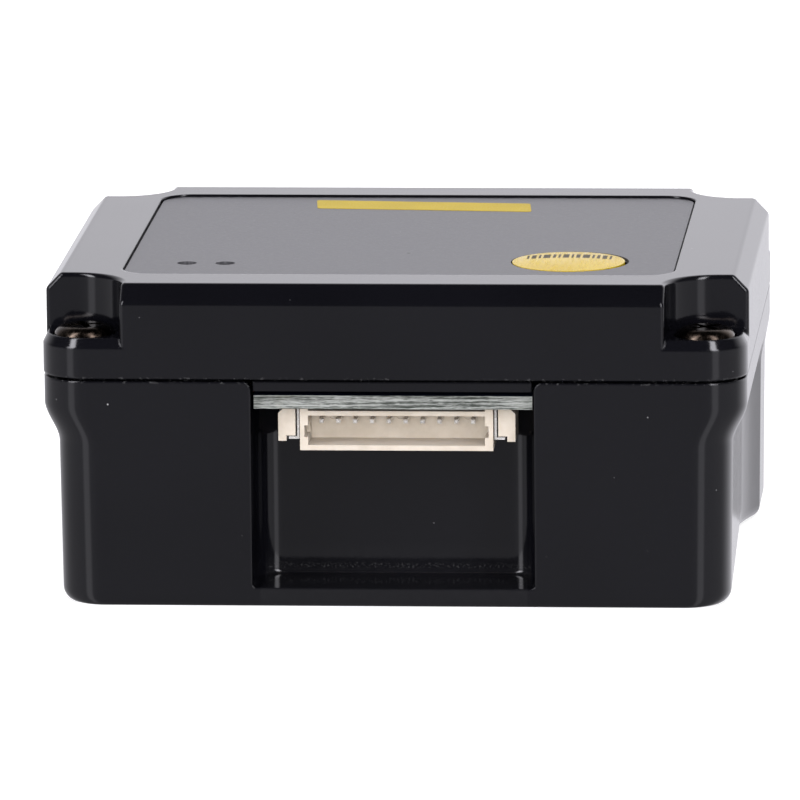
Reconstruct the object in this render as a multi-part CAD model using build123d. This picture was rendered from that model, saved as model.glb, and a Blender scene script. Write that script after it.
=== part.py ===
from build123d import *
from math import atan2, cos, degrees, radians, sin, tan
import os

# Fixed-mount line scanner module. Millimetres. X across, +Y towards the scan
# window, +Z up. The origin is the bottom centre. "Depth" runs from the
# connector face (0) to the window face (46).

# Overall
DEPTH = 46.0
REAR = -DEPTH / 2
FRONT = DEPTH / 2
SPLIT_Z = 17.0
TOP_Z = 24.0

# Base housing, outside
FLANGE_HALF = 26.05
NECK_HALF = 24.97
WAIST_HALF = 24.43
COLUMN_HALF = 25.65
WAIST_END = 29.0
FLARE_END = 35.4
SHOULDER_LOW = 11.9
SHOULDER_HIGH = 14.9
SIDE_DRAFT = 0.0125
BODY_CORNER_R = 3.4
FLANGE_CORNER_R = 3.5
BOTTOM_R = 0.9
BOTTOM_END_R = 0.3
SEAM_GAP = 0.15
SEAM_DEPTH = 0.8

# Base housing, inside
FLOOR_T = 1.6
CAVITY_HALF = 22.4
UPPER_HALF = 24.0
WALL_T = 1.8
UPPER_Z = 14.7
RECESS_HALF = 10.48
RECESS_DEPTH = 5.8
RECESS_FLOOR = 1.41
RECESS_WALL = 1.6
RECESS_R = 2.2

# Top cover
COVER_HALF = 26.1
END_CHAMFER = (1.46, 1.23)
SIDE_CHAMFER = (1.1, 1.15)
COVER_SKIN_Z = 22.2
POCKET_X = 20.1
POCKET_DEPTH = 5.7
POCKET_R = 3.9
CREST_R = 0.3
POCKET_Z = 20.03
LIP_DROP = 0.7
LIP_SETBACK = 0.35
COUNTERBORE = 1.4
TONGUE_HALF = 10.3
TONGUE_Z = 16.13
TONGUE_SETBACK = 0.3
TONGUE_GROOVE = 0.14
OPENING_R = 0.6

# Label, button and indicators
LABEL_HALF = 20.4
RECESS_GAP = 0.16
LABEL_Y0 = REAR + 5.45
LABEL_Y1 = REAR + 40.9
LABEL_RECESS = 0.4
LABEL_T = 0.23
LABEL_R = 2.2
STRIPE_SIZE = (16.5, 3.6)
STRIPE_SPOT = (-0.2, 13.83)
STRIPE_TURN = -4.5
STRIPE_LEAN = -0.16
STRIPE_R = 0.3
STRIPE_T = 0.03
BUTTON_X = 12.37
BUTTON_Y = -10.75
BUTTON_CROWN = 24.07
BUTTON_HOLE_X = BUTTON_X + 0.1
BUTTON_R = 4.2
BUTTON_GAP = 0.2
DOME_R = 40.0
INDICATOR_X = (-16.07, -13.2)
INDICATOR_Y = -11.9
PIPE_TOP = 23.35
INDICATOR_R = 0.73

# Screws
COVER_SCREW_X = 23.0
COVER_SCREW_Y = 20.0
COVER_HEAD_R = 2.25
COVER_HEAD_H = 2.0
BOARD_POST_X = 19.6
BOARD_POST_Y = (-11.0, 13.0)
ENGINE_SCREWS = ((-14.0, -2.8), (14.0, -2.8), (-14.0, 13.5))

# Boards
BOARD_Z = 14.7
BOARD_T = 1.0
BOARD_TOP = BOARD_Z + BOARD_T
BOARD_HALF = 21.8
TAIL_HALF = 10.3

# Connector: ten ways at 1.25 mm, side entry, hanging under the board
WAYS = 10
PITCH = 1.25
PLUG_X = 0.2
PLUG_Y0 = REAR + 1.6
PLUG_Y1 = REAR + 5.6
PLUG_HALF = 7.15
PLUG_Z = 11.48
EAR_HALF = 8.78

# Bottom inserts
INSERT_X = 15.0
INSERT_Y = -12.0
INSERT_R = 2.0
INSERT_L = 4.5
INSERT_BORE_R = 1.25

# Scan window
WINDOW_HALF = 18.0
WINDOW_Z = (2.6, 14.2)
APERTURE_HALF = 16.6
APERTURE_Z = (3.9, 12.9)
REBATE = 1.0

# Scan engine
PLATE_Z = 3.0
PLATE_T = 1.4
PLATE_TOP = PLATE_Z + PLATE_T
PIVOT = (0.0, 4.0)
BEAM_Z = 8.0
PIVOT_R = 0.5
PIVOT_FIT = 0.04


def block(x0, x1, y0, y1, z0, z1):
    centre = ((x0 + x1) / 2, (y0 + y1) / 2, (z0 + z1) / 2)
    return Pos(*centre) * Box(abs(x1 - x0), abs(y1 - y0), abs(z1 - z0))


def post(x, y, r, z0, z1):
    return Pos(x, y, (z0 + z1) / 2) * Cylinder(r, z1 - z0)


def rod_x(y, z, r, x0, x1):
    return Pos((x0 + x1) / 2, y, z) * Rot(0, 90, 0) * Cylinder(r, x1 - x0)


def slab(width, depth, radius, z0, z1, x=0.0, y=0.0):
    outline = Pos(x, y, z0) * RectangleRounded(width, depth, radius)
    return extrude(outline, z1 - z0)


def save(shape, name):
    export_step(shape, "parts/" + name + ".step")


def smooth(t):
    t = min(max(t, 0.0), 1.0)
    return t * t * (3 - 2 * t)


# --- base housing -----------------------------------------------------------

def side_half(depth, z):
    """Half width of the base at a depth behind the connector face."""
    if depth > WAIST_END:
        body = COLUMN_HALF
    else:
        body = NECK_HALF + (WAIST_HALF - NECK_HALF) * depth / WAIST_END
    body -= SIDE_DRAFT * max(SHOULDER_LOW - z, 0.0)
    rise = (z - SHOULDER_LOW) / (SHOULDER_HIGH - SHOULDER_LOW)
    return body + (FLANGE_HALF - body) * smooth(rise)


def side_edges(z, inset, end_inset):
    """Right-hand side of one level's outline, from connector face to window face."""
    rise = smooth((z - SHOULDER_LOW) / (SHOULDER_HIGH - SHOULDER_LOW))
    r = BODY_CORNER_R + (FLANGE_CORNER_R - BODY_CORNER_R) * rise - inset
    y0 = REAR + end_inset
    y1 = FRONT - end_inset
    near = side_half(0.0, z) - inset
    waist = side_half(WAIST_END, z) - inset
    far = side_half(DEPTH, z) - inset
    foot = (waist, REAR + WAIST_END, z)
    rising = (waist + (far - waist) * 0.05, REAR + WAIST_END + 2.8, z)
    settling = (far - (far - waist) * 0.35, REAR + FLARE_END - 1.5, z)
    crown = (far, REAR + FLARE_END, z)
    return [
        CenterArc((near - r, y0 + r, z), r, -90, 90),
        Line((near, y0 + r, z), foot),
        Bezier(foot, rising, settling, crown),
        Line(crown, (far, y1 - r, z)),
        CenterArc((far - r, y1 - r, z), r, 0, 90),
    ]


def level(z, inset=0.0, end_inset=0.0):
    right = side_edges(z, inset, end_inset)
    left = [edge.mirror(Plane.YZ) for edge in right]
    near = Line(left[0] @ 0, right[0] @ 0)
    far = Line(right[-1] @ 1, left[-1] @ 1)
    return Face(Wire([near] + right + [far] + left))


def base_outside():
    """Bottom rounding, drafted body, S-curved shoulder and straight flange."""
    rounding = []
    for k in range(6):
        turn = radians(18 * k)
        drop = 1 - cos(turn)
        rounding.append(level(BOTTOM_R * (1 - sin(turn)), BOTTOM_R * drop, BOTTOM_END_R * drop))
    neck_z = SHOULDER_LOW - 0.9
    flange_z = SHOULDER_HIGH + 1.1
    span = SHOULDER_HIGH - SHOULDER_LOW
    steps = [neck_z] + [SHOULDER_LOW + span * k / 16 for k in range(17)]
    shoulder = [level(z) for z in steps + [flange_z]]
    body = loft(rounding, ruled=True)
    body += loft([level(BOTTOM_R), level(neck_z)], ruled=True)
    body += loft(shoulder, ruled=True)
    return body + extrude(level(flange_z), SPLIT_Z - flange_z)


def recess_tool():
    tool = block(-RECESS_HALF, RECESS_HALF, REAR - 3, REAR + RECESS_DEPTH, RECESS_FLOOR, 20)
    back = tool.edges().filter_by(Axis.Z).group_by(Axis.Y)[-1]
    tool = fillet(back, RECESS_R)
    foot = tool.faces().sort_by(Axis.Z)[0].edges().sort_by(Axis.Y)[1:]
    return fillet(foot, 0.3)


def opening_rounding(side):
    """Trims the wall's top corner beside the connector opening to a radius."""
    inner = side * RECESS_HALF
    outer = side * (RECESS_HALF + OPENING_R)
    top = SPLIT_Z - SEAM_GAP
    depth = RECESS_DEPTH + RECESS_WALL
    corner = block(inner, outer, REAR - 1, REAR + depth, top - OPENING_R, 18)
    rod = Pos(outer, REAR, top - OPENING_R) * Rot(90, 0, 0) * Cylinder(OPENING_R, 4 * depth)
    return corner - rod


def make_base():
    outside = base_outside()
    body = outside - slab(2 * CAVITY_HALF, DEPTH - 2 * WALL_T, 1.6, FLOOR_T, 18)
    body -= slab(2 * UPPER_HALF, DEPTH - 2 * WALL_T, 2.4, UPPER_Z, 18)
    fill = block(-RECESS_HALF - RECESS_WALL, RECESS_HALF + RECESS_WALL, REAR,
                 REAR + RECESS_DEPTH + RECESS_WALL, 0, SPLIT_Z)
    for sx in (-1, 1):
        for sy in (-1, 1):
            fill += post(sx * COVER_SCREW_X, sy * COVER_SCREW_Y, 2.9, FLOOR_T, SPLIT_Z)
        for y in BOARD_POST_Y:
            fill += post(sx * BOARD_POST_X, y, 2.1, FLOOR_T - 0.2, BOARD_Z)
        fill += post(sx * INSERT_X, INSERT_Y, 3.2, FLOOR_T - 0.2, INSERT_L + 1.0)
    for x, y in ENGINE_SCREWS:
        fill += post(x, y, 2.2, FLOOR_T - 0.2, PLATE_Z)
    body += fill & outside
    body -= recess_tool()
    body -= block(-RECESS_HALF, RECESS_HALF, REAR + 3, REAR + 8, BOARD_Z, 18)
    for sx in (-1, 1):
        for sy in (-1, 1):
            body -= post(sx * COVER_SCREW_X, sy * COVER_SCREW_Y, 1.12, 9.0, 18)
        for y in BOARD_POST_Y:
            body -= post(sx * BOARD_POST_X, y, 0.87, 9.5, 16)
        body -= post(sx * INSERT_X, INSERT_Y, INSERT_R, -1, INSERT_L)
    for x, y in ENGINE_SCREWS:
        body -= post(x, y, 0.87, 0.8, 4)
    body -= block(-WINDOW_HALF, WINDOW_HALF, FRONT - REBATE, FRONT + 1, *WINDOW_Z)
    body -= block(-APERTURE_HALF, APERTURE_HALF, FRONT - 3, FRONT + 1, *APERTURE_Z)
    seam = slab(60, 60, 2, SPLIT_Z - SEAM_GAP, 18)
    seam -= slab(2 * (FLANGE_HALF - SEAM_DEPTH), DEPTH - 2 * SEAM_DEPTH, 2.7, 16, 19)
    body -= seam
    for side in (-1, 1):
        body -= opening_rounding(side)
    return body


# --- top cover --------------------------------------------------------------

def bevelled_prism(half, drop, setback, length):
    """Bar along Y with its two upper edges bevelled and softly rounded."""
    outline = [(-half, SPLIT_Z), (half, SPLIT_Z), (half, TOP_Z - drop),
               (half - setback, TOP_Z), (setback - half, TOP_Z), (-half, TOP_Z - drop)]
    face = make_face(Polyline(*outline, close=True))
    face = fillet(face.vertices().group_by(Axis.Y)[1:], 0.45)
    return extrude(Plane.XZ * face, length / 2, both=True)


def cover_outside():
    """Rounded skirt carrying a cross-shaped raised deck, open at the four corners."""
    pocket_y = FRONT - POCKET_DEPTH
    deck = bevelled_prism(COVER_HALF, SIDE_CHAMFER[1], SIDE_CHAMFER[0], 2 * pocket_y)
    deck += Rot(0, 0, 90) * bevelled_prism(FRONT, END_CHAMFER[1], END_CHAMFER[0], 2 * POCKET_X)
    inner = [e for e in deck.edges().filter_by(Axis.Z)
             if abs(abs((e @ 0).X) - POCKET_X) < 0.01 and abs(abs((e @ 0).Y) - pocket_y) < 0.01]
    deck = fillet(inner, POCKET_R)
    lip_z = POCKET_Z - LIP_DROP
    rim = Pos(0, 0, lip_z) * RectangleRounded(2 * COVER_HALF, DEPTH, FLANGE_CORNER_R)
    lip = extrude(rim, LIP_DROP, taper=degrees(atan2(LIP_SETBACK, LIP_DROP)))
    body = deck + lip + slab(2 * COVER_HALF, DEPTH, FLANGE_CORNER_R, SPLIT_Z, lip_z)
    crest = [e for e in body.edges().filter_by(GeomType.CIRCLE)
             if abs(e.radius - POCKET_R) < 0.01 and e.center().Z > TOP_Z - 0.1]
    body = fillet(crest, CREST_R)
    foot = [e for e in body.edges() if abs(e.center().Z - SPLIT_Z) < 0.01]
    return fillet(foot, 0.2)


def make_cover():
    body = cover_outside()
    hollow = slab(2 * UPPER_HALF, DEPTH - 2 * WALL_T, 2.4, SPLIT_Z - 1, COVER_SKIN_Z)
    for sx in (-1, 1):
        for sy in (-1, 1):
            hollow -= block(sx * 18.4, sx * 30, sy * (FRONT - 7.3), sy * 30, 10, 30)
    body -= hollow
    for sx in (-1, 1):
        for sy in (-1, 1):
            x, y = sx * COVER_SCREW_X, sy * COVER_SCREW_Y
            body -= post(x, y, COVER_HEAD_R + 0.1, POCKET_Z - COUNTERBORE, POCKET_Z)
            body -= post(x, y, 1.4, 10, 30)
    body -= slab(2 * (LABEL_HALF + RECESS_GAP), LABEL_Y1 - LABEL_Y0, LABEL_R + RECESS_GAP,
                 TOP_Z - LABEL_RECESS, TOP_Z + 1, y=(LABEL_Y0 + LABEL_Y1) / 2)
    body -= post(BUTTON_HOLE_X, BUTTON_Y, BUTTON_R + BUTTON_GAP, 20, 30)
    for x in INDICATOR_X:
        body -= post(x, INDICATOR_Y, INDICATOR_R, 20, 30)
    tongue = block(-TONGUE_HALF, TONGUE_HALF, REAR + TONGUE_SETBACK, REAR + WALL_T,
                   TONGUE_Z, SPLIT_Z + 0.1)
    groove = block(-TONGUE_HALF, TONGUE_HALF, REAR, REAR + SEAM_DEPTH, SPLIT_Z - TONGUE_GROOVE, SPLIT_Z)
    return body + (tongue - groove)


# --- label, button, indicators ----------------------------------------------

def make_label():
    z0 = TOP_Z - LABEL_RECESS
    depth = LABEL_Y1 - LABEL_Y0 - 2 * RECESS_GAP
    body = slab(2 * LABEL_HALF, depth, LABEL_R, z0, z0 + LABEL_T, y=(LABEL_Y0 + LABEL_Y1) / 2)
    body -= post(BUTTON_HOLE_X, BUTTON_Y, BUTTON_R + BUTTON_GAP, 20, 30)
    for x in INDICATOR_X:
        body -= post(x, INDICATOR_Y, INDICATOR_R, 20, 30)
    return body


def make_stripe():
    """Printed band: its long edges run a little askew, its ends lean the other way."""
    half, depth = STRIPE_SIZE[0] / 2, STRIPE_SIZE[1] / 2
    slope = -half * tan(radians(STRIPE_TURN))
    corners = [(-half - STRIPE_LEAN, slope - depth), (half - STRIPE_LEAN, -slope - depth),
               (half + STRIPE_LEAN, depth - slope), (-half + STRIPE_LEAN, depth + slope)]
    outline = make_face(Polyline(*corners, close=True))
    outline = fillet(outline.vertices(), STRIPE_R)
    return Pos(*STRIPE_SPOT, TOP_Z - LABEL_RECESS + LABEL_T) * extrude(outline, STRIPE_T)


def make_button():
    """Gently domed cap with a retaining flange and a stem."""
    cap = post(0, 0, BUTTON_R, 22, BUTTON_CROWN)
    cap &= Pos(0, 0, BUTTON_CROWN - DOME_R) * Sphere(DOME_R)
    cap += post(0, 0, 5.2, 21.3, COVER_SKIN_Z - 0.1)
    cap += post(0, 0, 1.5, 19.9, 21.4)
    return Pos(BUTTON_X, BUTTON_Y, 0) * cap


def make_switch():
    body = Pos(BUTTON_X, BUTTON_Y, BOARD_TOP) * Box(6, 6, 3.3, align=(Align.CENTER, Align.CENTER, Align.MIN))
    body = chamfer(body.edges().filter_by(Axis.Z), 0.5)
    return body - post(BUTTON_X, BUTTON_Y, 1.95, 17.6, 25)


def make_switch_plunger():
    return post(BUTTON_X, BUTTON_Y, 1.75, 18.1, 19.9)


def make_light_pipes():
    pipes = []
    for x in INDICATOR_X:
        rod_r = INDICATOR_R - 0.03
        pipe = post(x, INDICATOR_Y, rod_r, 16.6, PIPE_TOP)
        pipe = fillet(pipe.edges().sort_by(Axis.Z)[-1], rod_r * 0.5)
        pipe += post(x, INDICATOR_Y, 1.15, 21.4, COVER_SKIN_Z)
        pipes.append(pipe)
    return Compound(pipes)


def make_indicator_leds():
    leds = [block(x - 0.4, x + 0.4, INDICATOR_Y - 0.8, INDICATOR_Y + 0.8, BOARD_TOP, BOARD_TOP + 0.6)
            for x in INDICATOR_X]
    return Compound(leds)


# --- screws -----------------------------------------------------------------

def pan_screw(head_r, head_h, shank_r, length):
    """Pan-head screw, head upwards, seat at z = 0, with a cross recess."""
    body = extrude(Circle(head_r), head_h)
    body = fillet(body.edges().sort_by(Axis.Z)[-1], head_h * 0.45)
    body += Pos(0, 0, -length / 2) * Cylinder(shank_r, length)
    depth = head_h * 0.6
    for turn in (0, 90):
        slot = Rot(0, 0, turn) * Pos(0, 0, head_h) * Box(head_r * 1.15, head_r * 0.24, 2 * depth)
        body -= slot
    return body


def make_cover_screws():
    screw = pan_screw(COVER_HEAD_R, COVER_HEAD_H, 1.1, 8.0)
    seat = POCKET_Z - COUNTERBORE
    spots = [(sx * COVER_SCREW_X, sy * COVER_SCREW_Y) for sx in (-1, 1) for sy in (-1, 1)]
    turns = (20, 75, 40, 10)
    return Compound([Pos(x, y, seat) * Rot(0, 0, t) * screw for (x, y), t in zip(spots, turns)])


def make_board_screws():
    screw = pan_screw(1.8, 1.3, 0.85, 5.0)
    spots = [(sx * BOARD_POST_X, y) for sx in (-1, 1) for y in BOARD_POST_Y]
    return Compound([Pos(x, y, BOARD_TOP) * Rot(0, 0, 15) * screw for x, y in spots])


def make_engine_screws():
    screw = pan_screw(1.8, 1.3, 0.85, 3.4)
    return Compound([Pos(x, y, PLATE_TOP) * Rot(0, 0, 30) * screw for x, y in ENGINE_SCREWS])


def make_inserts():
    """Brass inserts pressed in from below, with two knurled lands each."""
    inserts = []
    for x in (-INSERT_X, INSERT_X):
        body = post(x, INSERT_Y, INSERT_R - 0.2, 0, INSERT_L)
        body += post(x, INSERT_Y, INSERT_R, 0, 1.6)
        body += post(x, INSERT_Y, INSERT_R, 2.6, INSERT_L)
        inserts.append(body - post(x, INSERT_Y, INSERT_BORE_R, -1, 9))
    return Compound(inserts)


# --- boards -----------------------------------------------------------------

def make_main_board():
    """Wide board with a narrow tail that reaches out over the connector recess."""
    y0 = REAR + RECESS_DEPTH + RECESS_WALL + 0.9
    body = block(-BOARD_HALF, BOARD_HALF, y0, 16.5, BOARD_Z, BOARD_TOP)
    body = fillet(body.edges().filter_by(Axis.Z), 1.0)
    body += block(-TAIL_HALF, TAIL_HALF, REAR + 1.0, y0 + 2, BOARD_Z, BOARD_TOP)
    for sx in (-1, 1):
        for y in BOARD_POST_Y:
            body -= post(sx * BOARD_POST_X, y, 1.1, 10, 20)
    return body


def make_chips():
    """Decoder, memory, level shifter and regulator on top of the main board."""
    spots = ((-3.0, -2.0, 7.0, 7.0, 0.9), (-12.0, -2.0, 5.0, 4.0, 1.2),
             (3.0, -14.0, 4.4, 5.0, 1.1), (8.0, 1.0, 3.0, 3.0, 1.0), (-12.0, 6.0, 3.0, 1.7, 1.1))
    bodies = [block(x - w / 2, x + w / 2, y - d / 2, y + d / 2, BOARD_TOP, BOARD_TOP + h)
              for x, y, w, d, h in spots]
    return Compound(bodies)


def make_capacitors():
    """Row of ceramic capacitors and two rows beside the decoder."""
    bodies = []
    for k in range(6):
        bodies.append(block(-9.4 + 2.3 * k, -8.6 + 2.3 * k, 3.0, 4.6, BOARD_TOP, BOARD_TOP + 0.8))
    for k in range(4):
        bodies.append(block(12.0, 13.6, -3.4 + 2 * k, -2.6 + 2 * k, BOARD_TOP, BOARD_TOP + 0.8))
    for k in range(3):
        bodies.append(block(-5.6 + 2 * k, -4.8 + 2 * k, -13.6, -12.0, BOARD_TOP, BOARD_TOP + 0.8))
    return Compound(bodies)


def make_buzzer():
    body = slab(8.5, 8.5, 1.0, BOARD_TOP, BOARD_TOP + 3.0, 2.0, 11.0)
    return body - post(2.0, 11.0, 0.9, BOARD_TOP + 1.0, 30)


# --- connector --------------------------------------------------------------

def pin_x(k):
    return PLUG_X + (k - (WAYS - 1) / 2) * PITCH


def make_ear(side):
    """Solder-nail pocket beside the shroud, joined to it at the back."""
    x0 = PLUG_X + side * (PLUG_HALF + 0.36)
    x1 = PLUG_X + side * EAR_HALF
    foot = PLUG_X + side * (EAR_HALF - 0.6)
    points = [(x0, 12.52), (foot, 12.52), (foot, 12.12), (x1, 12.12), (x1, BOARD_Z - 0.5),
              (x1 - side * 0.4, BOARD_Z - 0.1), (x0, BOARD_Z - 0.1)]
    face = make_face(Polyline(*points, close=True))
    ear = extrude(Plane(origin=(0, PLUG_Y1, 0), x_dir=(1, 0, 0), z_dir=(0, -1, 0)) * face, 3.7)
    bridge = block(PLUG_X + side * (PLUG_HALF - 0.1), x0 + side * 0.2, PLUG_Y1 - 1.2, PLUG_Y1,
                   12.6, BOARD_Z - 0.1)
    return ear + bridge


def make_connector():
    body = block(PLUG_X - PLUG_HALF, PLUG_X + PLUG_HALF, PLUG_Y0, PLUG_Y1, PLUG_Z, BOARD_Z - 0.27)
    for side in (-1, 1):
        x0 = PLUG_X + side * PLUG_HALF
        body += block(x0, x0 - side * 0.6, PLUG_Y0, PLUG_Y1, BOARD_Z - 1, BOARD_Z)
        body += make_ear(side)
    inner = PLUG_HALF - 0.6
    body -= block(PLUG_X - inner, PLUG_X + inner, PLUG_Y0 - 1, PLUG_Y1 - 0.9, PLUG_Z + 0.38, 14.08)
    body -= block(PLUG_X - inner - 0.27, PLUG_X + inner + 0.27, PLUG_Y0 - 1, PLUG_Y0 + 2.2,
                  PLUG_Z + 0.98, PLUG_Z + 1.86)
    for k in (0, 4, 8):
        x = pin_x(k) + 0.72
        mark = Pos(x, PLUG_Y1 - 0.9, 13.62) * Rot(90, 0, 0) * Cylinder(0.36, 0.2)
        body -= mark
        body -= block(x - 0.3, x + 0.02, PLUG_Y0 + 0.9, PLUG_Y1 - 0.9, 13.9, BOARD_Z)
    for k in range(WAYS):
        body -= block(pin_x(k) - 0.16, pin_x(k) + 0.16, PLUG_Y1 - 1.2, PLUG_Y1 + 1, 13.36, 13.68)
    return body


def make_pins():
    """Square contacts: a tip in the shroud and a tail soldered under the board."""
    pins = []
    for k in range(WAYS):
        x0, x1 = pin_x(k) - 0.16, pin_x(k) + 0.16
        tip = block(x0, x1, PLUG_Y0 + 0.75, PLUG_Y1, 13.36, 13.68)
        tip = chamfer(tip.faces().sort_by(Axis.Y)[0].edges(), 0.08)
        tail = block(x0, x1, PLUG_Y1, PLUG_Y1 + 0.15, 13.36, BOARD_Z)
        foot = block(x0, x1, PLUG_Y1 - 0.4, PLUG_Y1 + 0.15, BOARD_Z - 0.2, BOARD_Z)
        pins.append(tip + tail + foot)
    return Compound(pins)


def make_nails():
    """L-shaped hold-down nails between the shroud and its ears."""
    nails = []
    for side in (-1, 1):
        x0 = PLUG_X + side * (PLUG_HALF + 0.08)
        x1 = PLUG_X + side * (PLUG_HALF + 0.24)
        nail = block(x0, x1, PLUG_Y0 + 0.4, PLUG_Y1 - 1.3, 12.26, BOARD_Z)
        nail += block(x0, PLUG_X + side * (PLUG_HALF + 0.85), PLUG_Y0 + 0.4, PLUG_Y1 - 1.3,
                      12.26, 12.44)
        nails.append(nail)
    return Compound(nails)


# --- scan window ------------------------------------------------------------

def make_window_tape():
    body = block(-WINDOW_HALF + 0.1, WINDOW_HALF - 0.1, FRONT - REBATE, FRONT - REBATE + 0.15,
                 WINDOW_Z[0] + 0.1, WINDOW_Z[1] - 0.1)
    return body - block(-APERTURE_HALF, APERTURE_HALF, 10, 30, *APERTURE_Z)


def make_window():
    body = block(-WINDOW_HALF + 0.1, WINDOW_HALF - 0.1, FRONT - REBATE + 0.15, FRONT - 0.1,
                 WINDOW_Z[0] + 0.1, WINDOW_Z[1] - 0.1)
    return fillet(body.edges().filter_by(Axis.Y), 0.3)


# --- scan engine ------------------------------------------------------------

def along_mirror(offset0, offset1, width, z0, z1):
    """Block set square to the mirror, offsets measured from the pivot along its normal."""
    size = (width, offset1 - offset0, z1 - z0)
    spot = Pos(0, (offset0 + offset1) / 2, (z0 + z1) / 2)
    return Pos(PIVOT[0], PIVOT[1], 0) * Rot(0, 0, 45) * spot * Box(*size)


def along_coil(radius, offset0, offset1):
    spot = Pos(0, (offset0 + offset1) / 2, BEAM_Z)
    rod = spot * Rot(90, 0, 0) * Cylinder(radius, offset1 - offset0)
    return Pos(PIVOT[0], PIVOT[1], 0) * Rot(0, 0, 45) * rod


def make_chassis():
    """Plate with the laser block, the coil bracket and the pivot hole."""
    body = slab(33.2, 22.0, 1.5, PLATE_Z, PLATE_TOP, 0, 6.0)
    body += block(-13.0, -7.0, 0.4, 7.6, PLATE_TOP - 0.1, 11.6)
    body -= rod_x(PIVOT[1], BEAM_Z, 3.0, -20, -5)
    body += along_mirror(-10.0, -8.5, 5.0, PLATE_TOP - 0.1, 10.0)
    body += block(7.4, 15.6, 8.2, 9.2, PLATE_TOP - 0.1, 7.0)
    body -= post(PIVOT[0], PIVOT[1], PIVOT_R, 0, 9)
    for x, y in ENGINE_SCREWS:
        body -= post(x, y, 1.1, 0, 9)
    return body


def make_laser_barrel():
    body = rod_x(PIVOT[1], BEAM_Z, 3.0, -13.5, -6.2)
    body -= rod_x(PIVOT[1], BEAM_Z, 2.3, -14, -5)
    return body - rod_x(PIVOT[1], BEAM_Z, 2.8, -14, -12.3)


def make_laser_diode():
    """Flanged can with three leads into the laser board."""
    body = rod_x(PIVOT[1], BEAM_Z, 2.8, -13.5, -12.3)
    body += rod_x(PIVOT[1], BEAM_Z, 1.8, -12.4, -10.0)
    for k in range(3):
        turn = radians(90 + 120 * k)
        y, z = PIVOT[1] + cos(turn), BEAM_Z + sin(turn)
        body += rod_x(y, z, 0.22, -17.4, -13.4)
    return body


def make_collimator():
    lens = rod_x(PIVOT[1], BEAM_Z, 2.3, -8.4, -7.2)
    ball = Pos(-8.4, PIVOT[1], BEAM_Z) * Sphere(2.6)
    return lens & ball


def make_laser_board():
    body = block(-17.4, -16.6, 0.0, 8.0, 4.8, 13.4)
    for k in range(3):
        turn = radians(90 + 120 * k)
        body -= rod_x(PIVOT[1] + cos(turn), BEAM_Z + sin(turn), 0.22, -18, -16)
    return body


def make_receiver_board():
    return block(7.4, 15.6, 9.2, 10.0, PLATE_TOP, 13.4)


def make_link_pins():
    """Bent pins that hang from the main board and carry the two engine boards."""
    pins = []
    for k in range(4):
        y = 1.0 + 2.0 * k
        pins.append(block(-16.6, -16.3, y - 0.15, y + 0.15, 11.2, BOARD_Z))
    for k in range(4):
        x = 8.5 + 2.0 * k
        pins.append(block(x - 0.15, x + 0.15, 8.9, 9.2, 11.2, BOARD_Z))
    return Compound(pins)


def make_photodiode():
    return block(8.9, 14.1, 10.0, 11.2, 5.8, 10.2)


def make_filter():
    return block(8.7, 14.3, 11.2, 11.8, 5.6, 10.4)


def make_pivot_pin():
    return post(PIVOT[0], PIVOT[1], PIVOT_R, PLATE_Z, 13.0)


def make_mirror_carrier():
    """Hub on the pivot pin, with a plate for the mirror and an arm for the magnet."""
    body = post(PIVOT[0], PIVOT[1], 1.3, 4.7, 12.2)
    body += along_mirror(1.0, 2.4, 3.0, 5.6, 10.4)
    body += along_mirror(1.8, 2.4, 8.4, 4.9, 11.1)
    body += along_mirror(-2.9, -1.0, 2.2, 6.9, 9.1)
    return body - post(PIVOT[0], PIVOT[1], PIVOT_R + PIVOT_FIT, 0, 20)


def make_mirror():
    return along_mirror(2.4, 3.1, 8.8, 4.8, 11.2)


def make_magnet():
    return along_mirror(-4.3, -2.9, 3.0, 6.5, 9.5)


def make_bobbin():
    return along_coil(1.2, -8.5, -5.6) + along_coil(3.5, -6.0, -5.6) + along_coil(3.5, -8.5, -8.1)


def make_coil():
    return along_coil(3.3, -8.1, -6.0) - along_coil(1.2, -9, -5)


save(make_base(), "base_housing")
save(make_cover(), "top_cover")
save(make_label(), "label_overlay")
save(make_stripe(), "label_stripe")
save(make_button(), "scan_button")
save(make_switch(), "switch_body")
save(make_switch_plunger(), "switch_plunger")
save(make_light_pipes(), "light_pipes")
save(make_indicator_leds(), "indicator_leds")
save(make_cover_screws(), "cover_screws")
save(make_board_screws(), "board_screws")
save(make_engine_screws(), "engine_screws")
save(make_inserts(), "mount_inserts")
save(make_main_board(), "main_board")
save(make_chips(), "board_chips")
save(make_capacitors(), "board_capacitors")
save(make_buzzer(), "buzzer")
save(make_connector(), "connector_housing")
save(make_pins(), "connector_pins")
save(make_nails(), "connector_nails")
save(make_window_tape(), "window_tape")
save(make_window(), "scan_window")
save(make_chassis(), "engine_chassis")
save(make_laser_barrel(), "laser_barrel")
save(make_laser_diode(), "laser_diode")
save(make_collimator(), "collimator_lens")
save(make_laser_board(), "laser_board")
save(make_receiver_board(), "receiver_board")
save(make_link_pins(), "link_pins")
save(make_photodiode(), "photodiode")
save(make_filter(), "optical_filter")
save(make_pivot_pin(), "mirror_pivot")
save(make_mirror_carrier(), "mirror_carrier")
save(make_mirror(), "scan_mirror")
save(make_magnet(), "mirror_magnet")
save(make_bobbin(), "coil_bobbin")
save(make_coil(), "drive_coil")
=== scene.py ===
import math

import bmesh
import bpy
from mathutils import Matrix, Vector


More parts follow.
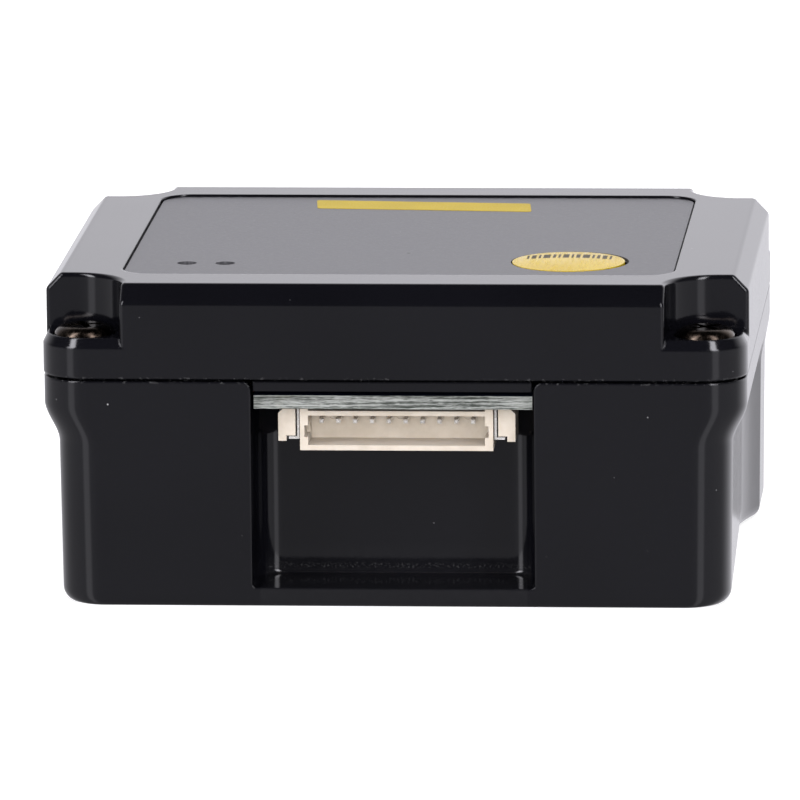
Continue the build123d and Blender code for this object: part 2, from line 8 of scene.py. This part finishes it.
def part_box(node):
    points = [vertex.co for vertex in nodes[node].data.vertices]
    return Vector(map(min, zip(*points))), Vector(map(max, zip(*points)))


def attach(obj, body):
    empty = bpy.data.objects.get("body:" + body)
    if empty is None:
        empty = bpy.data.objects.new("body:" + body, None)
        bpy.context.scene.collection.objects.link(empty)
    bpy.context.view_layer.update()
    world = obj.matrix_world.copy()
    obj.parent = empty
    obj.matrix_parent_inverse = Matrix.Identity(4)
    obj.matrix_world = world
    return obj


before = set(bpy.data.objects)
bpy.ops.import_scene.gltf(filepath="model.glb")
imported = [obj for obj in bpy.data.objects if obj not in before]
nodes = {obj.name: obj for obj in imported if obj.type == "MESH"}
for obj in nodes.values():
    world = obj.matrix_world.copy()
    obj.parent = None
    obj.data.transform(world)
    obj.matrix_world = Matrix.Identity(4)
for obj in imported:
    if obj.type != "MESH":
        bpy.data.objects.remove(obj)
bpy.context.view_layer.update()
scene = bpy.context.scene
MM = 0.001

# Places on the housing that its materials follow, in metres
BASE_SEAM_Z = 0.01691
COVER_SEAM_Z = 0.01702
OPENING_HALF = 0.0099
OPENING_BACK_Y = -0.0170
OPENING_FLOOR_Z = 0.0020
OPENING_FRONT_Y = -0.0227
EDGE_ROUNDING = 0.00022

# The bar print on the button, in millimetres on its dome
PRINT_BARS = (0.16, 0.34, 0.16, 0.52, 0.22, 0.16, 0.44, 0.16, 0.30, 0.52, 0.16, 0.22, 0.34, 0.16)
PRINT_GAP = 0.19
PRINT_NEAR = 0.45
PRINT_FAR = 2.2
PRINT_STEPS = 5
PRINT_SUNK = 0.02
PRINT_LIFT = 0.002
DOME_R = 40.0

# Studio
WORLD_FILL = 0.55
STRIP_AZIMUTHS = (-46, 40)
STRIP_HALF_WIDTH = 11
FLOOR_HALF = 4.0
FLOOR_GAP = 0.00002
CAMERA_SPOT = (0.064483, -0.868056, 0.173122)
CAMERA_PITCH = 10.531
CAMERA_YAW = 4.3227
CAMERA_ROLL = -0.5385
CAMERA_LENS = 526.63


# --- node helpers -------------------------------------------------------------

class Graph:
    """Small wrapper that builds shader nodes with short calls."""

    def __init__(self, tree):
        self.tree = tree
        tree.nodes.clear()

    def add(self, kind, **settings):
        node = self.tree.nodes.new(kind)
        for key, value in settings.items():
            setattr(node, key, value)
        return node

    def link(self, source, target):
        self.tree.links.new(source, target)

    def feed(self, value, socket):
        if isinstance(value, bpy.types.NodeSocket):
            self.link(value, socket)
        elif value is not None:
            socket.default_value = value

    def math(self, operation, a, b=None, c=None, clamp=False):
        node = self.add("ShaderNodeMath", operation=operation, use_clamp=clamp)
        for value, socket in zip((a, b, c), node.inputs):
            self.feed(value, socket)
        return node.outputs[0]

    def smooth(self, value, low, high, out_low=0.0, out_high=1.0):
        node = self.add("ShaderNodeMapRange", interpolation_type="SMOOTHSTEP")
        self.feed(value, node.inputs["Value"])
        node.inputs["From Min"].default_value = low
        node.inputs["From Max"].default_value = high
        node.inputs["To Min"].default_value = out_low
        node.inputs["To Max"].default_value = out_high
        return node.outputs["Result"]

    def mix(self, factor, a, b, blend="MIX"):
        node = self.add("ShaderNodeMix", data_type="RGBA", blend_type=blend)
        self.feed(factor, node.inputs["Factor"])
        self.feed(rgba(a), node.inputs["A"])
        self.feed(rgba(b), node.inputs["B"])
        return node.outputs["Result"]

    def place(self, scale=(1, 1, 1)):
        coords = self.add("ShaderNodeTexCoord")
        mapping = self.add("ShaderNodeMapping")
        mapping.inputs["Scale"].default_value = scale
        self.link(coords.outputs["Object"], mapping.inputs["Vector"])
        return mapping.outputs["Vector"]

    def noise(self, vector, scale, detail=2.0, roughness=0.5, distortion=0.0):
        node = self.add("ShaderNodeTexNoise")
        self.link(vector, node.inputs["Vector"])
        node.inputs["Scale"].default_value = scale
        node.inputs["Detail"].default_value = detail
        node.inputs["Roughness"].default_value = roughness
        node.inputs["Distortion"].default_value = distortion
        return node.outputs["Fac"]

    def cells(self, vector, scale, feature="F1", output="Distance"):
        node = self.add("ShaderNodeTexVoronoi", feature=feature)
        self.link(vector, node.inputs["Vector"])
        node.inputs["Scale"].default_value = scale
        return node.outputs[output]

    def bump(self, height, strength, distance, normal=None):
        node = self.add("ShaderNodeBump")
        node.inputs["Strength"].default_value = strength
        node.inputs["Distance"].default_value = distance
        self.link(height, node.inputs["Height"])
        if normal is not None:
            self.link(normal, node.inputs["Normal"])
        return node.outputs["Normal"]

    def soft_edges(self, radius):
        """Normal that rounds sharp moulded edges by the given radius."""
        node = self.add("ShaderNodeBevel", samples=6)
        node.inputs["Radius"].default_value = radius
        return node.outputs["Normal"]

    def xyz(self, vector):
        node = self.add("ShaderNodeSeparateXYZ")
        self.link(vector, node.inputs[0])
        return node.outputs["X"], node.outputs["Y"], node.outputs["Z"]


def rgba(value):
    """Colour triples get an alpha; anything else passes through."""
    if isinstance(value, tuple) and len(value) == 3:
        return (*value, 1.0)
    return value


def surface(name, **fixed):
    """A material with one Principled shader; fixed holds socket name to value."""
    material = bpy.data.materials.new(name)
    material.use_nodes = True
    graph = Graph(material.node_tree)
    shader = graph.add("ShaderNodeBsdfPrincipled")
    output = graph.add("ShaderNodeOutputMaterial")
    graph.link(shader.outputs[0], output.inputs["Surface"])
    for key, value in fixed.items():
        shader.inputs[key.replace("_", " ")].default_value = rgba(value)
    return material, graph, shader


def dust(graph, vector, scale, size, share):
    """Mask of small round specks: one candidate per cell, of which only a share is kept."""
    distance = graph.cells(vector, scale)
    colour = graph.cells(vector, scale, output="Color")
    pick = graph.add("ShaderNodeSeparateColor")
    graph.link(colour, pick.inputs[0])
    kept = graph.math("LESS_THAN", pick.outputs[0], share)
    spot = graph.smooth(distance, size * 1.5, size * 0.6)
    return graph.math("MULTIPLY", kept, spot)


# --- materials ------------------------------------------------------------------

def recess_dust_and_glints(graph, place, x, y, z):
    """Dust and painted highlights at the foot of the connector opening: a faint lightening of the floor,
    and bright broken lines along its two lower edges, the front floor edge and the back corner, that are
    painted highlights, with dust in the back one.
    """
    inside = graph.math("LESS_THAN", graph.math("ABSOLUTE", x), OPENING_HALF)
    inside = graph.math("MULTIPLY", inside, graph.math("LESS_THAN", y, OPENING_BACK_Y))
    low = graph.smooth(z, OPENING_FLOOR_Z + 0.0020, OPENING_FLOOR_Z)
    film = graph.smooth(graph.noise(place, 1500, 4.0, 0.7), 0.30, 0.80, 0.003, 0.006)
    height = graph.math("ABSOLUTE", graph.math("SUBTRACT", z, OPENING_FLOOR_Z))
    glint_breakup = graph.smooth(graph.noise(place, 6500, 4.0, 0.7), 0.50, 0.68)
    # painted highlight: a broken glint line along the front edge of the opening's floor
    at_front = graph.smooth(y, OPENING_FRONT_Y + 0.0007, OPENING_FRONT_Y)
    front_glint = graph.math("MULTIPLY", at_front, graph.smooth(height, 0.00024, 0.00008))
    # painted highlight with dust: a bright broken line along the back lower corner of the opening
    at_back = graph.smooth(y, OPENING_BACK_Y - 0.0020, OPENING_BACK_Y - 0.0012)
    back_glint = graph.math("MULTIPLY", at_back, graph.smooth(height, 0.00030, 0.00008))
    line = graph.math("MULTIPLY", graph.math("MAXIMUM", front_glint, back_glint), glint_breakup)
    floor_and_glints = graph.math("MULTIPLY_ADD", line, 0.05, film)
    return graph.math("MULTIPLY", graph.math("MULTIPLY", inside, low), floor_and_glints)


def black_gloss(name, seam_z):
    """Polished moulded ABS: faint orange peel, hairline scuffs, dust, a ragged parting line whose light
    flecks are painted highlights, and painted highlights with dust in the connector opening.
    """
    material, graph, shader = surface(name, IOR=1.49)
    place = graph.place()
    broad = graph.noise(place, 60, 1.0)
    peel = graph.noise(place, 1300, 2.0, 0.5)
    fine = graph.noise(place, 6000, 3.0, 0.6)
    scuffs = graph.noise(graph.place((1, 1, 0.06)), 2500, 2.0, 0.7)
    specks = dust(graph, place, 330, 0.022, 0.30)
    grit = dust(graph, place, 800, 0.040, 0.12)
    x, y, z = graph.xyz(place)
    off = graph.math("ABSOLUTE", graph.math("SUBTRACT", z, seam_z))
    near_seam = graph.smooth(off, 0.00024, 0.00006)
    # painted highlights: light flecks along the parting line, standing for glints off its flash
    seam_glint_noise = graph.smooth(graph.noise(place, 2600, 4.0, 0.7), 0.56, 0.66)
    ragged = graph.math("MULTIPLY", near_seam, seam_glint_noise)
    marks = graph.math("MULTIPLY", specks, 0.6)
    marks = graph.math("MAXIMUM", marks, graph.math("MULTIPLY", grit, 0.25))
    marks = graph.math("MAXIMUM", marks, graph.math("MULTIPLY", ragged, 0.09))
    # painted highlights at the foot of the connector opening, with some dust
    marks = graph.math("MAXIMUM", marks, recess_dust_and_glints(graph, place, x, y, z))
    cloud = graph.smooth(broad, 0.35, 0.65)
    tint = graph.mix(cloud, (0.0022, 0.0022, 0.0032), (0.0028, 0.0028, 0.0040))
    graph.link(graph.mix(marks, tint, (0.50, 0.50, 0.50)), shader.inputs["Base Color"])
    rough = graph.smooth(fine, 0.3, 0.75, 0.07, 0.13)
    rough = graph.math("ADD", rough, graph.smooth(scuffs, 0.62, 0.8, 0.0, 0.08))
    rough = graph.math("ADD", rough, graph.math("MULTIPLY", marks, 0.5), clamp=True)
    graph.link(rough, shader.inputs["Roughness"])
    normal = graph.bump(broad, 0.05, 0.0004, graph.soft_edges(EDGE_ROUNDING))
    normal = graph.bump(peel, 0.10, 0.00002, normal)
    graph.link(graph.bump(fine, 0.10, 0.000006, normal), shader.inputs["Normal"])
    return material


def label_film():
    """Dark grey overlay film with a fine pebbled emboss, a faint sparkle and a few specks."""
    material, graph, shader = surface("label_film", IOR=1.44)
    place = graph.place()
    pebble = graph.cells(place, 5200, "SMOOTH_F1")
    grain = graph.noise(place, 3800, 3.0, 0.75)
    sparkle = dust(graph, place, 2600, 0.10, 0.05)
    fleck = dust(graph, place, 220, 0.026, 0.12)
    tint = graph.mix(graph.smooth(grain, 0.38, 0.62), (0.046, 0.046, 0.051), (0.106, 0.104, 0.112))
    tint = graph.mix(graph.math("MULTIPLY", sparkle, 0.5), tint, (0.5, 0.5, 0.52))
    tint = graph.mix(graph.math("MULTIPLY", fleck, 0.8), tint, (0.015, 0.015, 0.018))
    graph.link(tint, shader.inputs["Base Color"])
    rough = graph.smooth(grain, 0.35, 0.65, 0.32, 0.44)
    graph.link(graph.math("ADD", rough, graph.math("MULTIPLY", fleck, 0.4)), shader.inputs["Roughness"])
    emboss = graph.bump(pebble, 0.30, 0.00002)
    graph.link(graph.bump(grain, 0.45, 0.00003, emboss), shader.inputs["Normal"])
    return material


def yellow_ink():
    """Screen-printed yellow ink with a slightly uneven film."""
    material, graph, shader = surface("yellow_ink", IOR=1.24)
    place = graph.place()
    grain = graph.noise(place, 7000, 2.0, 0.6)
    broad = graph.noise(place, 400, 2.0)
    tint = graph.mix(graph.smooth(broad, 0.3, 0.7), (0.43, 0.312, 0.007), (0.47, 0.342, 0.010))
    graph.link(tint, shader.inputs["Base Color"])
    graph.link(graph.smooth(grain, 0.3, 0.7, 0.38, 0.52), shader.inputs["Roughness"])
    graph.link(graph.bump(grain, 0.25, 0.00001), shader.inputs["Normal"])
    return material


def yellow_button():
    """Smooth yellow cap, a little translucent, with fine handling marks."""
    material, graph, shader = surface("yellow_button", IOR=1.27)
    place = graph.place()
    broad = graph.noise(place, 300, 2.0)
    fine = graph.noise(graph.place((1, 0.1, 1)), 3000, 2.0, 0.6)
    tint = graph.mix(graph.smooth(broad, 0.3, 0.7), (0.47, 0.325, 0.008), (0.51, 0.36, 0.012))
    graph.link(tint, shader.inputs["Base Color"])
    graph.link(graph.smooth(fine, 0.35, 0.75, 0.20, 0.34), shader.inputs["Roughness"])
    graph.link(graph.bump(broad, 0.05, 0.0001), shader.inputs["Normal"])
    shader.inputs["Subsurface Weight"].default_value = 0.08
    shader.inputs["Subsurface Radius"].default_value = (0.0006, 0.0004, 0.0001)
    return material


def ivory_nylon():
    """Natural nylon: warm, slightly translucent, with faint flow marks and grime."""
    material, graph, shader = surface("ivory_nylon", IOR=1.2)
    place = graph.place()
    flow = graph.noise(graph.place((1, 0.4, 1)), 900, 3.0, 0.6)
    grime = graph.noise(place, 2600, 4.0, 0.65)
    tint = graph.mix(graph.smooth(flow, 0.3, 0.7), (0.50, 0.44, 0.365), (0.56, 0.50, 0.425))
    tint = graph.mix(graph.smooth(grime, 0.60, 0.80, 0.0, 0.30), tint, (0.40, 0.31, 0.22))
    graph.link(tint, shader.inputs["Base Color"])
    graph.link(graph.smooth(flow, 0.3, 0.7, 0.34, 0.48), shader.inputs["Roughness"])
    graph.link(graph.bump(grime, 0.10, 0.00002), shader.inputs["Normal"])
    shader.inputs["Subsurface Weight"].default_value = 0.15
    shader.inputs["Subsurface Radius"].default_value = (0.0008, 0.0006, 0.0004)
    return material


def board_laminate():
    """Solder mask on the faces; sawn glass-fibre layers on the edges."""
    material, graph, shader = surface("board_laminate", IOR=1.3)
    place = graph.place()
    strands = graph.noise(graph.place((0.30, 0.30, 3.4)), 3600, 4.0, 0.75, 0.5)
    layers = graph.noise(graph.place((0.05, 0.05, 3.0)), 2500, 2.0, 0.6, 0.3)
    mixed = graph.math("MULTIPLY_ADD", strands, 0.55, graph.math("MULTIPLY", layers, 0.45))
    edge = graph.mix(graph.smooth(mixed, 0.40, 0.60), (0.036, 0.042, 0.035), (0.35, 0.362, 0.343))
    stain = graph.smooth(graph.noise(place, 260, 2.0), 0.55, 0.75, 0.0, 0.5)
    edge = graph.mix(stain, edge, (0.20, 0.20, 0.12))
    cloud = graph.smooth(graph.noise(place, 700, 3.0), 0.4, 0.6)
    mask = graph.mix(cloud, (0.006, 0.010, 0.028), (0.010, 0.016, 0.040))
    geometry = graph.add("ShaderNodeNewGeometry")
    upward = graph.xyz(geometry.outputs["Normal"])[2]
    flat = graph.math("GREATER_THAN", graph.math("ABSOLUTE", upward), 0.6)
    graph.link(graph.mix(flat, edge, mask), shader.inputs["Base Color"])
    rough = graph.math("SUBTRACT", 0.62, graph.math("MULTIPLY", flat, 0.38))
    graph.link(rough, shader.inputs["Roughness"])
    graph.link(graph.bump(mixed, 0.5, 0.00003), shader.inputs["Normal"])
    return material


def metal(name, low, high, rough_low, rough_high,
          stretch=(1, 1, 1), grain=2500, pits=0.0, metallic=1.0):
    """Plated or turned metal with streaks along the given stretch."""
    material, graph, shader = surface(name, Metallic=metallic)
    streaks = graph.noise(graph.place(stretch), grain, 3.0, 0.6)
    blotch = graph.noise(graph.place(), 700, 3.0, 0.6)
    graph.link(graph.mix(graph.smooth(blotch, 0.3, 0.7), low, high), shader.inputs["Base Color"])
    graph.link(graph.smooth(streaks, 0.3, 0.7, rough_low, rough_high), shader.inputs["Roughness"])
    graph.link(graph.bump(streaks, 0.12 + pits, 0.00002), shader.inputs["Normal"])
    return material


def moulded(name, low, high, rough_low=0.4, rough_high=0.6,
            grain=3000, strength=0.2, ior=1.47):
    """Plain moulded or sintered part with a fine spark-eroded texture."""
    material, graph, shader = surface(name, IOR=ior)
    texture = graph.noise(graph.place(), grain, 3.0, 0.6)
    broad = graph.noise(graph.place(), 250, 2.0)
    graph.link(graph.mix(graph.smooth(broad, 0.3, 0.7), low, high), shader.inputs["Base Color"])
    graph.link(graph.smooth(texture, 0.3, 0.7, rough_low, rough_high), shader.inputs["Roughness"])
    graph.link(graph.bump(texture, strength, 0.00002), shader.inputs["Normal"])
    return material


def clear(name, colour, roughness, ior=1.49):
    """Transparent moulding or window with faint surface haze."""
    material, graph, shader = surface(name, IOR=ior, Transmission_Weight=1.0)
    haze = graph.noise(graph.place(), 900, 3.0)
    shift = graph.noise(graph.place(), 120, 1.0)
    deep = tuple(c * 0.9 for c in colour)
    graph.link(graph.mix(graph.smooth(shift, 0.3, 0.7), deep, colour), shader.inputs["Base Color"])
    graph.link(graph.smooth(haze, 0.35, 0.75, roughness, roughness + 0.05), shader.inputs["Roughness"])
    graph.link(graph.bump(haze, 0.02, 0.00002), shader.inputs["Normal"])
    return material


def copper_coil():
    """Enamelled wire: fine ribs across the winding's axis, with painted shade in the grooves between
    turns.
    """
    material, graph, shader = surface("copper_winding", Metallic=0.85)
    coords = graph.add("ShaderNodeTexCoord")
    mapping = graph.add("ShaderNodeMapping")
    mapping.inputs["Rotation"].default_value = (0, 0, math.radians(-45))
    graph.link(coords.outputs["Object"], mapping.inputs["Vector"])
    wave = graph.add("ShaderNodeTexWave", bands_direction="Y", wave_profile="SIN")
    wave.inputs["Scale"].default_value = 1250
    wave.inputs["Distortion"].default_value = 0.6
    graph.link(mapping.outputs["Vector"], wave.inputs["Vector"])
    # painted shade: the colour darkens in the grooves between turns and lightens on the crests
    tint = graph.mix(wave.outputs["Fac"], (0.34, 0.10, 0.035), (0.80, 0.36, 0.17))
    graph.link(tint, shader.inputs["Base Color"])
    shader.inputs["Roughness"].default_value = 0.3
    graph.link(graph.bump(wave.outputs["Fac"], 0.8, 0.00005), shader.inputs["Normal"])
    return material


def front_mirror():
    """Front-coated glass with a trace of haze."""
    material, graph, shader = surface("front_mirror", Metallic=1.0)
    haze = graph.noise(graph.place(), 500, 3.0)
    graph.link(graph.mix(haze, (0.90, 0.91, 0.93), (0.95, 0.95, 0.96)), shader.inputs["Base Color"])
    graph.link(graph.smooth(haze, 0.4, 0.8, 0.01, 0.05), shader.inputs["Roughness"])
    return material


tinned = metal("tinned_metal", (0.62, 0.60, 0.57), (0.80, 0.78, 0.75), 0.18, 0.36, metallic=0.55)
zinc = metal("zinc_steel", (0.55, 0.55, 0.55), (0.70, 0.70, 0.69), 0.25, 0.42)
brass = metal("insert_brass", (0.66, 0.46, 0.18), (0.78, 0.58, 0.27), 0.22, 0.38)
epoxy = moulded("chip_epoxy", (0.018, 0.018, 0.019), (0.028, 0.028, 0.029))
laminate = board_laminate()
carrier = moulded("carrier_plastic", (0.016, 0.016, 0.017), (0.026, 0.026, 0.028))
red_glass = clear("red_acrylic", (0.62, 0.020, 0.03), 0.02)
clear_glass = clear("clear_plastic", (0.90, 0.92, 0.92), 0.05)

LOOKS = {
    "base_housing": black_gloss("black_abs", BASE_SEAM_Z),
    "top_cover": black_gloss("black_abs_cover", COVER_SEAM_Z),
    "label_overlay": label_film(),
    "label_stripe": yellow_ink(),
    "scan_button": yellow_button(),
    "switch_body": moulded("switch_black", (0.018, 0.018, 0.018), (0.03, 0.03, 0.03)),
    "switch_plunger": moulded("switch_plunger", (0.04, 0.04, 0.04), (0.06, 0.06, 0.06)),
    "light_pipes": clear_glass,
    "indicator_leds": moulded("led_body", (0.70, 0.70, 0.58), (0.80, 0.80, 0.70), 0.2, 0.35),
    "cover_screws": metal("bronze_steel", (0.030, 0.022, 0.017), (0.085, 0.066, 0.052), 0.14, 0.32,
                          (1, 1, 0.3), 2800, 0.25),
    "board_screws": zinc,
    "engine_screws": zinc,
    "mount_inserts": brass,
    "main_board": laminate,
    "board_chips": epoxy,
    "board_capacitors": moulded("ceramic", (0.36, 0.25, 0.15), (0.48, 0.35, 0.22), 0.3, 0.5),
    "buzzer": epoxy,
    "connector_housing": ivory_nylon(),
    "connector_pins": tinned,
    "connector_nails": tinned,
    "window_tape": moulded("foam_tape", (0.012, 0.012, 0.012), (0.022, 0.022, 0.022), 0.7, 0.9, 2500, 0.6),
    "scan_window": red_glass,
    "engine_chassis": metal("cast_chassis", (0.26, 0.26, 0.27), (0.40, 0.40, 0.41), 0.45, 0.65,
                            (1, 1, 1), 1600, 0.3),
    "laser_barrel": brass,
    "laser_diode": metal("diode_can", (0.72, 0.55, 0.24), (0.85, 0.68, 0.36), 0.15, 0.3),
    "collimator_lens": clear_glass,
    "laser_board": laminate,
    "receiver_board": laminate,
    "link_pins": tinned,
    "photodiode": epoxy,
    "optical_filter": red_glass,
    "mirror_pivot": metal("ground_steel", (0.58, 0.58, 0.59), (0.70, 0.70, 0.71), 0.12, 0.25),
    "mirror_carrier": carrier,
    "scan_mirror": front_mirror(),
    "mirror_magnet": metal("magnet_plating", (0.62, 0.61, 0.58), (0.74, 0.73, 0.70), 0.1, 0.22),
    "coil_bobbin": carrier,
    "drive_coil": copper_coil(),
}
for name, material in LOOKS.items():
    for slot in nodes[name].material_slots:
        slot.material = material


# --- extra pieces ------------------------------------------------------------------

def new_piece(name, bm, material, body):
    """Turn a bmesh into a piece that rides a body and fills a material slot."""
    mesh = bpy.data.meshes.new(name)
    bm.to_mesh(mesh)
    bm.free()
    piece = bpy.data.objects.new(name, mesh)
    scene.collection.objects.link(piece)
    piece.data.materials.append(material)
    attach(piece, body)


def button_print():
    """Generic row of plain upright bars, printed on the far half of the button's dome."""
    low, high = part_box("scan_button")
    centre = Vector(((low.x + high.x) / 2, (low.y + high.y) / 2))
    bm = bmesh.new()

    def on_dome(x, y, lift):
        drop = DOME_R - math.sqrt(DOME_R**2 - x * x - y * y)
        return bm.verts.new((centre.x + x * MM, centre.y + y * MM, high.z + (lift - drop) * MM))

    x = -(sum(PRINT_BARS) + PRINT_GAP * (len(PRINT_BARS) - 1)) / 2
    for width in PRINT_BARS:
        rings = []
        far_x = x + width
        corners = ((x, -PRINT_SUNK), (far_x, -PRINT_SUNK), (far_x, PRINT_LIFT), (x, PRINT_LIFT))
        for k in range(PRINT_STEPS + 1):
            y = PRINT_NEAR + (PRINT_FAR - PRINT_NEAR) * k / PRINT_STEPS
            rings.append([on_dome(px, y, lift) for px, lift in corners])
        for near, far in zip(rings, rings[1:]):
            for i in range(4):
                bm.faces.new((near[i], near[i - 3], far[i - 3], far[i]))
        bm.faces.new(rings[0][::-1])
        bm.faces.new(rings[-1])
        x += width + PRINT_GAP
    bmesh.ops.recalc_face_normals(bm, faces=bm.faces)
    ink = moulded("grey_ink", (0.085, 0.075, 0.055), (0.12, 0.105, 0.08), 0.55, 0.7, ior=1.22)
    new_piece("button_print", bm, ink, "button")


button_print()


# --- floor, light, camera --------------------------------------------------------------

def make_floor():
    """White paper that stays evenly bright, and isn't there when looked at from below."""
    bm = bmesh.new()
    bmesh.ops.create_grid(bm, x_segments=4, y_segments=4, size=FLOOR_HALF)
    mesh = bpy.data.meshes.new("floor")
    bm.to_mesh(mesh)
    bm.free()
    floor = bpy.data.objects.new("floor", mesh)
    floor.location.z = -FLOOR_GAP
    scene.collection.objects.link(floor)
    material, graph, shader = surface("floor_paper", Roughness=0.9)
    shader.inputs["Base Color"].default_value = (0.45, 0.45, 0.45, 1)
    shader.inputs["Emission Color"].default_value = (1.0, 1.0, 1.0, 1)
    seen = graph.add("ShaderNodeLightPath").outputs["Is Camera Ray"]
    graph.link(graph.math("MULTIPLY_ADD", seen, 0.72, 0.06), shader.inputs["Emission Strength"])
    from_below = graph.add("ShaderNodeNewGeometry").outputs["Backfacing"]
    graph.link(graph.math("SUBTRACT", 1.0, from_below), shader.inputs["Alpha"])
    floor.data.materials.append(material)
    floor.visible_glossy = False


def strip_light(graph, x, y, azimuth):
    """Mask of an upright strip light centred on an azimuth, in degrees from the connector side."""
    turn = graph.math("ARCTAN2", x, graph.math("MULTIPLY", y, -1.0))
    away = graph.math("ABSOLUTE", graph.math("SUBTRACT", turn, math.radians(azimuth)))
    return graph.smooth(away, math.radians(STRIP_HALF_WIDTH), math.radians(STRIP_HALF_WIDTH * 0.45))


def make_world():
    """White sweep behind, dim overhead and in front, and an upright strip light on either side."""
    world = bpy.data.worlds.new("studio")
    scene.world = world
    world.use_nodes = True
    graph = Graph(world.node_tree)
    direction = graph.add("ShaderNodeTexCoord").outputs["Generated"]
    x, y, z = graph.xyz(direction)
    behind = graph.smooth(y, 0.15, 0.80)
    sweep = graph.smooth(z, -0.19, -0.10, 0.85, 1.15)
    sweep = graph.math("MULTIPLY", sweep, graph.smooth(x, 0.12, 0.50, 1.0, 1.4))
    sweep = graph.math("MULTIPLY", sweep, graph.smooth(x, -0.06, -0.18, 1.0, 0.78))
    sweep = graph.math("MULTIPLY", sweep, graph.smooth(z, 0.93, 0.60, 0.03, 1.0))
    floor_front = graph.smooth(z, 0.05, -0.08, 0.04, 0.36)
    floor_front = graph.math("MULTIPLY", floor_front, graph.smooth(z, 0.9, 0.3, 0.6, 1.0))
    aside = graph.smooth(graph.math("ABSOLUTE", x), 0.2, 0.8, 1.0, 1.4)
    floor_front = graph.math("MULTIPLY", floor_front, aside)
    level = graph.math("MULTIPLY", floor_front, graph.math("SUBTRACT", 1.0, behind))
    level = graph.math("MULTIPLY_ADD", sweep, behind, level)
    height = graph.smooth(z, 0.02, 0.35, 0.62, 10.0)
    height = graph.math("MULTIPLY", height, graph.smooth(z, 0.96, 0.80))
    for azimuth in STRIP_AZIMUTHS:
        level = graph.math("MULTIPLY_ADD", strip_light(graph, x, y, azimuth), height, level)
    path = graph.add("ShaderNodeLightPath")
    plain = graph.math("MAXIMUM", path.outputs["Is Camera Ray"], path.outputs["Is Diffuse Ray"])
    mirrored = graph.math("MULTIPLY", level, graph.math("SUBTRACT", 1.0, plain))
    strength = graph.math("MULTIPLY_ADD", plain, WORLD_FILL, mirrored)
    background = graph.add("ShaderNodeBackground")
    background.inputs["Color"].default_value = (0.98, 0.97, 1.03, 1.0)
    graph.link(strength, background.inputs["Strength"])
    output = graph.add("ShaderNodeOutputWorld")
    graph.link(background.outputs[0], output.inputs["Surface"])


def area_light(name, location, target, size, power):
    """Square softbox that lights surfaces but isn't mirrored in them."""
    data = bpy.data.lights.new(name, "AREA")
    data.shape = "SQUARE"
    data.size = size
    data.energy = power
    light = bpy.data.objects.new(name, data)
    light.location = location
    aim = Vector(target) - Vector(location)
    light.rotation_euler = aim.to_track_quat("-Z", "Y").to_euler()
    light.visible_glossy = False
    scene.collection.objects.link(light)


def make_camera():
    """Long lens, a little above and to the right, looking at the connector face."""
    pitch, yaw, roll = (math.radians(angle) for angle in (CAMERA_PITCH, CAMERA_YAW, CAMERA_ROLL))
    level_ahead = Vector((-math.sin(yaw), math.cos(yaw), 0.0))
    ahead = math.cos(pitch) * level_ahead - math.sin(pitch) * Vector((0.0, 0.0, 1.0))
    right = Vector((math.cos(yaw), math.sin(yaw), 0.0))
    up = right.cross(ahead)
    across = math.cos(roll) * right + math.sin(roll) * up
    upright = math.cos(roll) * up - math.sin(roll) * right
    data = bpy.data.cameras.new("camera")
    data.sensor_width = 36.0
    data.lens = CAMERA_LENS
    data.clip_start = 0.05
    camera = bpy.data.objects.new("camera", data)
    rotation = Matrix((across, upright, -ahead)).transposed().to_4x4()
    camera.matrix_world = Matrix.Translation(CAMERA_SPOT) @ rotation
    scene.collection.objects.link(camera)
    scene.camera = camera


make_floor()
make_world()
area_light("overhead", (0.0, 0.1, 1.6), (0, 0, 0), 2.2, 12.0)
area_light("frontal", (0.05, -1.9, 0.30), (0, 0, 0.01), 0.6, 24.0)
make_camera()
scene.view_settings.view_transform = "Standard"
